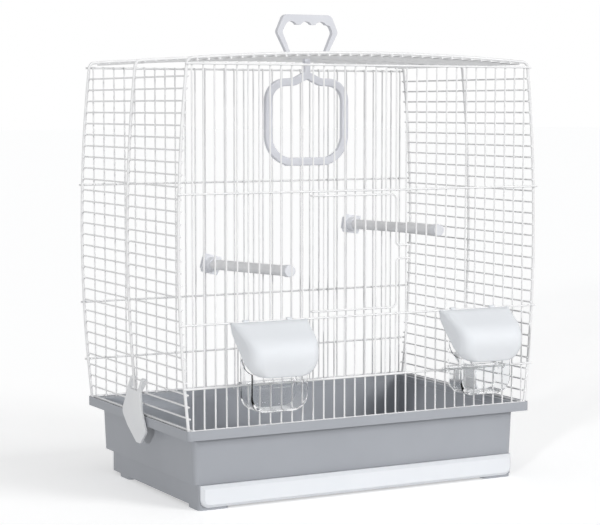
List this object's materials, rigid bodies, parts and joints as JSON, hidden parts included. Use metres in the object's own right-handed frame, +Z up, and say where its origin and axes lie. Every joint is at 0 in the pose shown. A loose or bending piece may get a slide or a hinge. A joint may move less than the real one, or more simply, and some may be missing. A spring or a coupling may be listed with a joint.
{
  "type": "bird cage",
  "caption": "Wire cage for small birds on a plastic tray with a pull-out drawer, a front door, feeders under hinged hoods, perches, a swing and a carrying handle.",
  "frame": {"origin": "on the floor plane under the feet, midway between the two sides and midway between the front and back wire panels", "axes": "+Z up, +X to the right seen from the front, +Y to the back; the front with the door and feeders faces -Y"},
  "size_m": [0.4344, 0.3135, 0.5111],
  "materials": {
    "cream_coated_wire": "smooth cream-white plastic coating on steel wire",
    "tray_plastic": "satin mid-grey moulded plastic",
    "white_plastic": "soft-gloss white moulded plastic",
    "clear_plastic": "clear polished plastic",
    "perch_plastic": "satin light-grey plastic",
    "pale_lavender_plastic": "soft-gloss pale lavender-white plastic"
  },
  "bodies": {
    "cage": {"tray": "tray_plastic", "front_hoop": "cream_coated_wire", "middle_hoop": "cream_coated_wire", "back_hoop": "cream_coated_wire", "front_rails": "cream_coated_wire", "back_rails": "cream_coated_wire", "front_wires": "cream_coated_wire", "back_wires": "cream_coated_wire", "left_side_wires": "cream_coated_wire", "right_side_wires": "cream_coated_wire", "left_bottom_rail": "cream_coated_wire", "right_bottom_rail": "cream_coated_wire", "roof_wires": "cream_coated_wire", "left_feeder_cup": "clear_plastic", "right_feeder_cup": "clear_plastic", "left_perch_bracket": "white_plastic", "left_perch_bar": "perch_plastic", "left_perch_cap": "white_plastic", "left_perch_nut": "white_plastic", "right_perch_bracket": "white_plastic", "right_perch_bar": "perch_plastic", "right_perch_cap": "white_plastic", "right_perch_nut": "white_plastic"},
    "drawer": {"drawer": "white_plastic"},
    "door": {"door_upper_frame": "cream_coated_wire", "door_lower_frame": "cream_coated_wire", "door_wires": "cream_coated_wire"},
    "left_hood": {"left_feeder_hood": "white_plastic"},
    "right_hood": {"right_feeder_hood": "white_plastic"},
    "left_latch": {"left_latch": "white_plastic"},
    "right_latch": {"right_latch": "white_plastic"},
    "swing": {"swing": "pale_lavender_plastic"},
    "handle": {"handle": "pale_lavender_plastic"}
  },
  "joints": [
    {"name": "drawer_slide", "type": "slide", "parent": "cage", "child": "drawer", "axis": [0, -1, 0], "range_m": [0, 0.2]},
    {"name": "door_hinge", "type": "hinge", "parent": "cage", "child": "door", "pos_m": [-0.0625, -0.1304, 0.25805], "axis": [0, 0, -1], "range_deg": [0, 95]},
    {"name": "left_hood_hinge", "type": "hinge", "parent": "cage", "child": "left_hood", "pos_m": [-0.1125, -0.13245, 0.19155], "axis": [-1, 0, 0], "range_deg": [0, 80]},
    {"name": "right_hood_hinge", "type": "hinge", "parent": "cage", "child": "right_hood", "pos_m": [0.1375, -0.13245, 0.19155], "axis": [-1, 0, 0], "range_deg": [0, 80]},
    {"name": "left_latch_hinge", "type": "hinge", "parent": "cage", "child": "left_latch", "pos_m": [-0.20616, -0.00625, 0.12095], "axis": [0, 1, 0], "range_deg": [0, 70]},
    {"name": "right_latch_hinge", "type": "hinge", "parent": "cage", "child": "right_latch", "pos_m": [0.20616, -0.00625, 0.12095], "axis": [0, -1, 0], "range_deg": [0, 70]},
    {"name": "swing_pivot", "type": "hinge", "parent": "cage", "child": "swing", "pos_m": [0, 0, 0.46597], "axis": [1, 0, 0], "range_deg": [-50, 50]},
    {"name": "handle_pivot", "type": "hinge", "parent": "cage", "child": "handle", "pos_m": [0, 0, 0.46588], "axis": [1, 0, 0], "range_deg": [-70, 70]}
  ]
}
